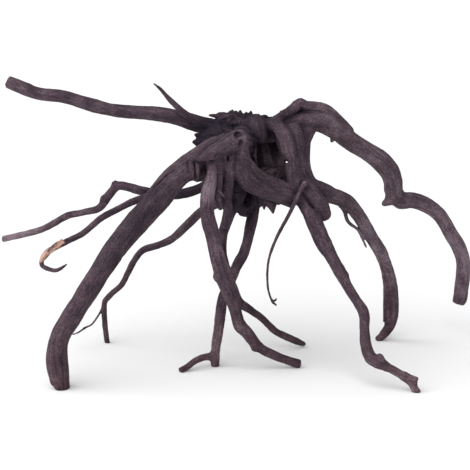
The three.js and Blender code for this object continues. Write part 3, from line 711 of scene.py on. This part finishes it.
def mesh_from(name, points, faces):
    """A mesh of these points and triangles."""
    mesh = bpy.data.meshes.new(name)
    mesh.vertices.add(len(points))
    mesh.vertices.foreach_set("co", points.astype(np.float32).ravel())
    mesh.loops.add(3 * len(faces))
    mesh.loops.foreach_set("vertex_index", faces.astype(np.int32).ravel())
    mesh.polygons.add(len(faces))
    mesh.polygons.foreach_set("loop_start", np.arange(0, 3 * len(faces), 3, dtype=np.int32))
    mesh.update(calc_edges=True)
    mesh.validate()
    return mesh


MOST_TRIANGLES = 192000
TO_METRES, TO_MILLIMETRES = 0.001, 1000

points, faces = surface()
whole = largest_shell(faces, len(points))
faces = faces[whole[faces].all(1)]
points = points[whole]
faces = (np.cumsum(whole) - 1)[faces]
relief, _, _ = grain_of(points)
points = points + normals_of(points, faces) * relief[:, None]

rough = bpy.data.objects.new("rough_root", mesh_from("rough_root", points * TO_METRES, faces))
bpy.context.collection.objects.link(rough)
thin = rough.modifiers.new("thin", "DECIMATE")
thin.ratio = min(1.0, MOST_TRIANGLES / len(faces))
finished = bpy.data.meshes.new_from_object(rough.evaluated_get(bpy.context.evaluated_depsgraph_get()))
bpy.data.objects.remove(rough)

root = bpy.data.objects.new("root_fine", finished)
bpy.context.collection.objects.link(root)
places = np.empty(3 * len(finished.vertices), np.float32)
finished.vertices.foreach_get("co", places)
places = places.reshape(-1, 3)
low, high = (np.array(corner, np.float32) for corner in cad_box)
places = np.clip(places, low, high)
finished.vertices.foreach_set("co", places.ravel())
corners = np.empty(3 * len(finished.polygons), np.int32)
finished.loops.foreach_get("vertex_index", corners)
points, faces = places.astype(float) * TO_MILLIMETRES, corners.reshape(-1, 3)
_, streak_and_shade, grain = grain_of(points)


# The tones of the wood, with painted light and shade in them. It is darkest in the hollow and where it is
# sheltered, which is painted shade, and its worn ends and the edges that stand out are paler, the edges by
# the same painted shade. Near its tip the lower left rootlet is broken to pale orange wood.

TONE_PLACES = [  # middle, size, how much paler or darker; some are painted light, painted shade or painted highlights, as marked
    ((23, 22, 172), 15, 0.8),  # painted light in the hollow, which its shade alone would turn too dark
    ((34, 4, 164), 8, -0.3),  # its floor, painted shade
    ((16, 4, 194), 9, -0.3),  # the lump inside it, painted shade
    ((11, -9, 190), 8, -0.3),  # its left wall, painted shade
    ((6, 2, 141), 16, -0.4),  # painted shade under the bridge
    ((20, -24, 155), 17, -0.13),  # the bridge
    ((-13, -16, 160), 12, -0.16),  # painted shade between the front and middle legs
    ((-26, 18, 188), 19, -0.7),  # left shoulder
    ((-46, 2, 149), 20, -0.36),  # root of the rootlets
    ((8, 24, 206), 15, -0.26),  # torn top
    ((60, 2, 148), 10, -0.08),  # root of the right legs
    ((-80, -56, 135), 40, -0.13),  # the thick leg
    ((-145, -82, 25), 34, 0.04),  # its foot
    ((1, -38, 198), 10, 0.17),  # painted highlight on the knob
    ((6, -35, 194), 7, 0.12),  # painted highlight on its right side
    ((-22, -48, 187), 12, 0.08),  # lip
    ((-24, -48, 158), 17, 0.32),  # top of the front leg
    ((-8, -48, 100), 34, 0.1),  # the front leg
    ((-25, -20, 8), 28, 0.14),  # foot of the rear leg
    ((-200, 50, 98), 26, 0.42),  # end of the upper rootlet
    ((-195, 74, 228), 16, 0.12),  # end of the branch
    ((196, 84, 80), 50, 0.28),  # hanging end of the arm
    ((110, 40, 176), 34, 0.16),  # middle of the arm
    ((74, 26, 218), 20, 0.14),  # top of the arch
    ((116, 38, 96), 42, 0.27),  # the outer right leg
    ((132, -88, 12), 28, 0.2),  # its foot
]
SHELTER_SHADE = 0.5  # tone that a fully open place has over a closed one: painted shade in the sheltered places
# The streak carries the grain's tone and the painted shade in furrows, tears and splits.
STREAK_AND_SHADE_TONE = 0.16
MIDDLE_TONE = -0.01

normals = normals_of(points, faces)
# Painted shade: the wood is painted darker where the air before it is closed in.
tone_and_shading = MIDDLE_TONE + SHELTER_SHADE * openness(points, normals) + STREAK_AND_SHADE_TONE * streak_and_shade
for at, size, change in TONE_PLACES:
    away = np.linalg.norm(points - np.array(at), axis=1) / size
    tone_and_shading = tone_and_shading + change * np.exp(-(away**2))

SCAR_ENDS = np.array([[-148.5, -32, 110.5], [-163.8, -35.5, 97.5]])
SCAR_SIZE = 3.4
SCAR_EDGE = 1.6  # over how much it fades
FRAY_SIZE, FRAY_DEPTH, FRAY_GRAIN = 2.5, 1.6, 1.2  # how raggedly

run = SCAR_ENDS[1] - SCAR_ENDS[0]
share = np.clip((points - SCAR_ENDS[0]) @ run / (run @ run), 0, 1)
away = np.linalg.norm(points - SCAR_ENDS[0] - share[:, None] * run, axis=1)
frayed = FRAY_DEPTH * cloud(*(points / FRAY_SIZE).T) + FRAY_GRAIN * streak_and_shade
scar = np.clip((SCAR_SIZE - away + frayed) / SCAR_EDGE, 0, 1)

LEG_WARMTH_HEIGHT = 90.0  # below this the legs turn browner
LEGS_TO = 170.0  # in x; the arm hangs past it and stays grey
warmth = np.clip(1 - points[:, 2] / LEG_WARMTH_HEIGHT, 0, 1) * (points[:, 0] < LEGS_TO)

for name, values in (("tone_and_shading", tone_and_shading), ("scar", scar), ("warmth", warmth)):
    finished.attributes.new(name, "FLOAT", "POINT").data.foreach_set("value", values.astype(np.float32))
laid_straight = finished.attributes.new("grain", "FLOAT_VECTOR", "POINT")
laid_straight.data.foreach_set("vector", grain.astype(np.float32).ravel())
finished.polygons.foreach_set("use_smooth", np.ones(len(finished.polygons), bool))
finished.update()


# The finish of the wood: bare, dry and matte, a dark purple brown with paler grey ridges, partly worn and
# partly painted light, darker where painted shade falls, and with fine fibres along the grain.

wood = bpy.data.materials.new("root_wood")
wood.use_nodes = True
nodes, links = wood.node_tree.nodes, wood.node_tree.links
shader = nodes["Principled BSDF"]
shader.inputs["Roughness"].default_value = 0.78
shader.inputs["Specular IOR Level"].default_value = 0.2

FIBRE_SQUEEZE = (1.3, 1.3, 0.12)  # how fast the fibres change across and along the grain
FIBRE_NOISE, MOTTLE_NOISE, GRIT_NOISE = (1.0, 4.0), (85.0, 6.0), (900.0, 3.0)  # scale, detail
FIBRE_TONE, MOTTLE_TONE, GRIT_TONE = 0.5, 0.6, 0.8  # what each noise adds to the tone
BARE_WOOD = [  # tone, colour; the tone carries painted light and shade as well as the wood's own
    (0.0, (0.012, 0.0075, 0.0155)),
    (0.3, (0.033, 0.020, 0.030)),
    (0.55, (0.074, 0.047, 0.061)),
    (0.95, (0.215, 0.160, 0.190)),
]
BROKEN_WOOD = [  # fibre, colour
    (0.32, (0.24, 0.11, 0.08)),
    (0.46, (0.60, 0.34, 0.25)),
    (0.66, (0.86, 0.64, 0.55)),
]
LEG_BROWN = (1.0, 0.86, 0.80)  # the colour is multiplied by it
LEG_BROWN_SHARE = 0.6
GRIT_BUMP = 0.3  # beside the fibres
BUMP_STRENGTH, BUMP_HEIGHT = 0.8, 0.0004
MIX_FACTOR, MIX_FIRST, MIX_SECOND, MIX_RESULT = 0, 6, 7, 2  # a mix node's sockets for colours


def attribute(name, output):
    """The output of a node that reads one of the mesh's attributes."""
    node = nodes.new("ShaderNodeAttribute")
    node.attribute_name = name
    return node.outputs[output]


def speckle(vector, scale, detail):
    """A noise texture's value, read at a vector."""
    node = nodes.new("ShaderNodeTexNoise")
    node.inputs["Scale"].default_value = scale
    node.inputs["Detail"].default_value = detail
    links.new(vector, node.inputs["Vector"])
    return node.outputs["Fac"]


def worked(operation, *values):
    """A number made of others, which are outputs or plain numbers."""
    node = nodes.new("ShaderNodeMath")
    node.operation = operation
    for socket, value in zip(node.inputs, values):
        if isinstance(value, bpy.types.NodeSocket):
            links.new(value, socket)
        else:
            socket.default_value = value
    return node.outputs["Value"]


def ramp(factor, stops):
    """A colour chosen along a ramp of positions and colours."""
    node = nodes.new("ShaderNodeValToRGB")
    elements = node.color_ramp.elements
    while len(elements) < len(stops):
        elements.new(0.5)
    for element, (position, colour) in zip(elements, stops):
        element.position = position
        element.color = (*colour, 1)
    links.new(factor, node.inputs["Fac"])
    return node.outputs["Color"]


def blend(kind, factor, first, second):
    """Two colours mixed or multiplied by a factor. The second may be a plain colour."""
    node = nodes.new("ShaderNodeMix")
    node.data_type = "RGBA"
    node.blend_type = kind
    links.new(factor, node.inputs[MIX_FACTOR])
    links.new(first, node.inputs[MIX_FIRST])
    if isinstance(second, bpy.types.NodeSocket):
        links.new(second, node.inputs[MIX_SECOND])
    else:
        node.inputs[MIX_SECOND].default_value = (*second, 1)
    return node.outputs[MIX_RESULT]


squeeze = nodes.new("ShaderNodeMapping")
squeeze.inputs["Scale"].default_value = FIBRE_SQUEEZE
links.new(attribute("grain", "Vector"), squeeze.inputs["Vector"])
fibres = speckle(squeeze.outputs["Vector"], *FIBRE_NOISE)
body = nodes.new("ShaderNodeTexCoord").outputs["Object"]
mottle = speckle(body, *MOTTLE_NOISE)
grit = speckle(body, *GRIT_NOISE)

tone_and_shading = worked("MULTIPLY_ADD", fibres, FIBRE_TONE, attribute("tone_and_shading", "Fac"))
tone_and_shading = worked("MULTIPLY_ADD", mottle, MOTTLE_TONE, tone_and_shading)
tone_and_shading = worked("MULTIPLY_ADD", grit, GRIT_TONE, tone_and_shading)
tone_and_shading = worked("SUBTRACT", tone_and_shading, (FIBRE_TONE + MOTTLE_TONE + GRIT_TONE) / 2)  # what they add on average
bare = ramp(tone_and_shading, BARE_WOOD)
warm = worked("MULTIPLY", attribute("warmth", "Fac"), LEG_BROWN_SHARE)
browned = blend("MULTIPLY", warm, bare, LEG_BROWN)
colour = blend("MIX", attribute("scar", "Fac"), browned, ramp(fibres, BROKEN_WOOD))
links.new(colour, shader.inputs["Base Color"])

bump = nodes.new("ShaderNodeBump")
bump.inputs["Strength"].default_value = BUMP_STRENGTH
bump.inputs["Distance"].default_value = BUMP_HEIGHT
links.new(worked("MULTIPLY_ADD", grit, GRIT_BUMP, fibres), bump.inputs["Height"])
links.new(bump.outputs["Normal"], shader.inputs["Normal"])

finished.materials.append(wood)
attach(root, "root")
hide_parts("spiderwood_root")


# The studio: a pale floor, one sun with soft shadows from the upper front left, and white surroundings.
# The camera stands where the photo's did, a little above the root and far in front of it.

FLOOR_HALF = 6.0
FLOOR_PALE = (0.92, 0.92, 0.92, 1)
WORLD_STRENGTH = 0.42
SUN_FROM = (-0.7, -0.55, 0.95)
SUN_ENERGY = 3.2
SUN_ACROSS = 1.6  # in radians, so that its shadows are soft
CAMERA_AT = (-0.004, -1.3524, 0.3971)
CAMERA_AIM = (-0.004, 0.017, 0.106)
CAMERA_LENS, CAMERA_SENSOR = 124.7, 36

floor_corners = [(x * FLOOR_HALF, y * FLOOR_HALF, 0) for x, y in ((-1, -1), (1, -1), (1, 1), (-1, 1))]
floor_mesh = bpy.data.meshes.new("floor")
floor_mesh.from_pydata(floor_corners, [], [(0, 1, 2, 3)])
floor = bpy.data.objects.new("floor", floor_mesh)
bpy.context.collection.objects.link(floor)
pale = bpy.data.materials.new("pale_floor")
pale.use_nodes = True
pale.node_tree.nodes["Principled BSDF"].inputs["Base Color"].default_value = FLOOR_PALE
pale.node_tree.nodes["Principled BSDF"].inputs["Roughness"].default_value = 1.0
floor_mesh.materials.append(pale)

world = bpy.data.worlds.new("studio")
world.use_nodes = True
world.node_tree.nodes["Background"].inputs["Color"].default_value = (1, 1, 1, 1)
world.node_tree.nodes["Background"].inputs["Strength"].default_value = WORLD_STRENGTH
bpy.context.scene.world = world
bpy.context.scene.view_settings.view_transform = "Standard"

sun = bpy.data.lights.new("sun", "SUN")
sun.energy = SUN_ENERGY
sun.angle = SUN_ACROSS
sun_holder = bpy.data.objects.new("sun", sun)
sun_holder.location = SUN_FROM
sun_holder.rotation_euler = (-sun_holder.location).to_track_quat("-Z", "Y").to_euler()
bpy.context.collection.objects.link(sun_holder)

camera_data = bpy.data.cameras.new("camera")
camera_data.lens = CAMERA_LENS
camera_data.sensor_width = CAMERA_SENSOR
camera = bpy.data.objects.new("camera", camera_data)
camera.location = CAMERA_AT
aim = Vector(CAMERA_AIM) - camera.location
camera.rotation_euler = aim.to_track_quat("-Z", "Y").to_euler()
bpy.context.collection.objects.link(camera)
bpy.context.scene.camera = camera
